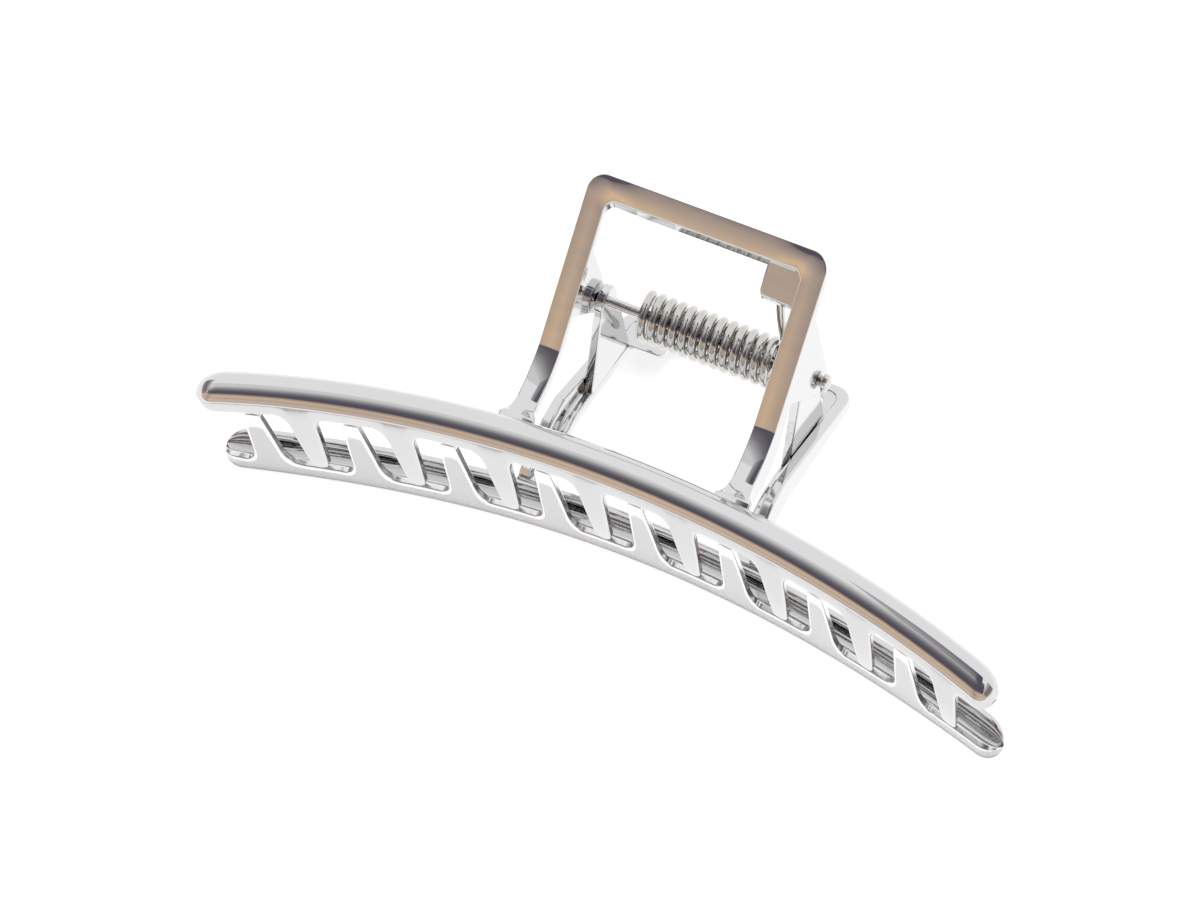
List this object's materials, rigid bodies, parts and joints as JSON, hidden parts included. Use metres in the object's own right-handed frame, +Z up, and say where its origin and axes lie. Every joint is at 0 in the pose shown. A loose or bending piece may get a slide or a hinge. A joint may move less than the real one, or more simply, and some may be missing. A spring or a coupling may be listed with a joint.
{
  "type": "hair claw clip",
  "caption": "Metal hair claw: long toothed jaws with square open handles, hinged on a pin and closed by a torsion spring.",
  "frame": {"origin": "centre of the bounding box's bottom face, on the surface the closed clip lies on", "axes": "+X along the hinge pin and the clip's length, +Y from the teeth to the handles, +Z up"},
  "size_m": [0.1036, 0.048, 0.044],
  "materials": {
    "jaw_chrome": "bright silver plating over a smooth casting",
    "pin_steel": "plated steel, fine turned marks, peened ends",
    "spring_steel": "bright drawn spring wire"
  },
  "bodies": {
    "lower": {"lower_jaw": "jaw_chrome", "hinge_pin": "pin_steel", "torsion_spring": "spring_steel"},
    "upper": {"upper_jaw": "jaw_chrome"}
  },
  "joints": [
    {"name": "jaw_hinge", "type": "hinge", "parent": "lower", "child": "upper", "pos_m": [0, 0.01112, 0.02015], "axis": [-1, 0, 0], "range_deg": [0, 60], "stiffness_Nm_per_rad": 0.12, "springref_deg": -57.3, "deforming": ["torsion_spring"]}
  ]
}
